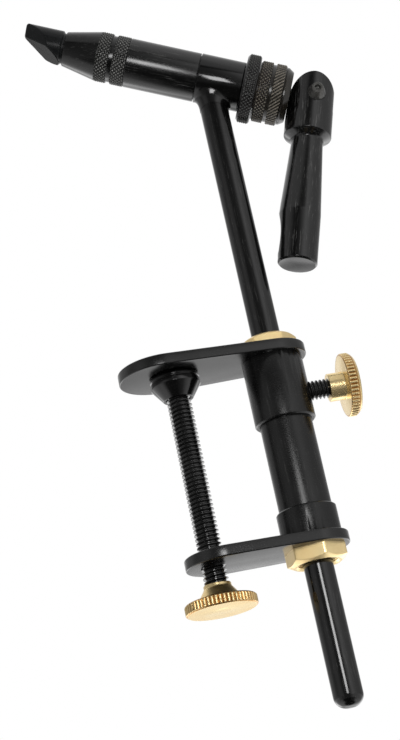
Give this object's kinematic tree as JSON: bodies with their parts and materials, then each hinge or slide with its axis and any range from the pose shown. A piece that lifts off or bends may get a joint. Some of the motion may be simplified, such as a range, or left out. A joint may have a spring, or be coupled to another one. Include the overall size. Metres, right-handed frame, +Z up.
{
  "type": "fly tying vise",
  "caption": "C-clamp fly tying vise: sliding stem with brass lock screw, tilted barrel with collet jaws drawn shut by a hanging cam lever.",
  "frame": {"origin": "on the stem axis, in the plane of the upper plate's underside, which rests on the table", "axes": "+Z up along the stem; -X towards the jaws and the clamp screw; +X towards the lever and the stem lock; -Y is the side seen in the picture"},
  "size_m": [0.1014, 0.0284, 0.2508],
  "materials": {
    "black_steel": "black, satin",
    "plate_steel": "black, glossy",
    "stem_steel": "blackened, polished",
    "thread_steel": "black, threaded",
    "collar_steel": "brown-black, knurled",
    "jaw_steel": "hardened, ground",
    "pin_steel": "turned",
    "spring_steel": "bright",
    "brass": "turned, satin"
  },
  "bodies": {
    "clamp_frame": {"upper_plate": "plate_steel", "lower_plate": "plate_steel", "column_tube": "black_steel", "upper_sleeve": "black_steel", "lower_collar": "black_steel", "upper_nut": "brass", "lower_nut": "brass"},
    "lock_screw": {"lock_stud": "thread_steel", "lock_knob": "brass"},
    "pad": {"clamp_pad": "black_steel"},
    "screw": {"clamp_screw": "thread_steel", "clamp_knob": "brass", "pad_ring": "spring_steel"},
    "post": {"stem": "stem_steel", "head_collar": "black_steel"},
    "head": {"barrel": "black_steel", "return_spring": "spring_steel"},
    "cone": {"nose_cone": "black_steel"},
    "ring": {"lock_ring": "black_steel"},
    "washer": {"thrust_washer": "collar_steel"},
    "adjuster": {"adjusting_collar": "collar_steel"},
    "rod": {"draw_rod": "jaw_steel"},
    "lever": {"cam_lever": "black_steel", "lever_pin": "pin_steel"},
    "near_jaw": {"jaw_near": "jaw_steel"},
    "far_jaw": {"jaw_far": "jaw_steel"}
  },
  "joints": [
    {"name": "lock_turn", "type": "hinge", "parent": "clamp_frame", "child": "lock_screw", "pos_m": [0, 0, -0.0122], "axis": [1, 0, 0], "range_deg": [0, 720]},
    {"name": "pad_slide", "type": "slide", "parent": "clamp_frame", "child": "pad", "axis": [0, 0, -1], "range_m": [0, 0.04977]},
    {"name": "clamp_turn", "type": "hinge", "parent": "pad", "child": "screw", "pos_m": [-0.0325, 0, -0.04], "axis": [0, 0, -1], "range_deg": [0, 12700]},
    {"name": "stem_slide", "type": "slide", "parent": "clamp_frame", "child": "post", "axis": [0, 0, 1], "range_m": [-0.018, 0.085]},
    {"name": "barrel_turn", "type": "hinge", "parent": "post", "child": "head", "pos_m": [0, 0, 0.1057], "axis": [-0.9212, 0, 0.3891], "continuous": true},
    {"name": "cone_turn", "type": "hinge", "parent": "head", "child": "cone", "pos_m": [-0.03685, 0, 0.12126], "axis": [-0.9212, 0, 0.3891], "range_deg": [0, 720]},
    {"name": "ring_turn", "type": "hinge", "parent": "head", "child": "ring", "pos_m": [0.01382, 0, 0.09986], "axis": [-0.9212, 0, 0.3891], "range_deg": [0, 180]},
    {"name": "washer_slide", "type": "slide", "parent": "head", "child": "washer", "axis": [-0.9212, 0, 0.3891], "range_m": [0, 0.000389]},
    {"name": "adjust_turn", "type": "hinge", "parent": "washer", "child": "adjuster", "pos_m": [0.02027, 0, 0.09714], "axis": [-0.9212, 0, 0.3891], "range_deg": [0, 140]},
    {"name": "draw_slide", "type": "slide", "parent": "head", "child": "rod", "axis": [-0.9212, 0, 0.3891], "range_m": [0, 0.000869]},
    {"name": "lever_turn", "type": "hinge", "parent": "rod", "child": "lever", "pos_m": [0.03464, 0, 0.09107], "axis": [0, -1, 0], "range_deg": [0, 100]},
    {"name": "near_jaw_open", "type": "hinge", "parent": "rod", "child": "near_jaw", "pos_m": [-0.01566, 0, 0.11231], "axis": [0.3891, 0, 0.9212], "range_deg": [0, 0.26]},
    {"name": "far_jaw_open", "type": "hinge", "parent": "rod", "child": "far_jaw", "pos_m": [-0.01566, 0, 0.11231], "axis": [-0.3891, 0, -0.9212], "range_deg": [0, 0.26]}
  ],
  "couplings": [
    {"joint": "clamp_turn", "follows": "pad_slide", "rad_per_m": 4453},
    {"joint": "adjust_turn", "follows": "washer_slide", "rad_per_m": 6283.2},
    {"joint": "lever_turn", "follows": "draw_slide", "rad_per_m": 2008},
    {"joint": "near_jaw_open", "follows": "draw_slide", "rad_per_m": 5.2008},
    {"joint": "far_jaw_open", "follows": "draw_slide", "rad_per_m": 5.2008}
  ]
}
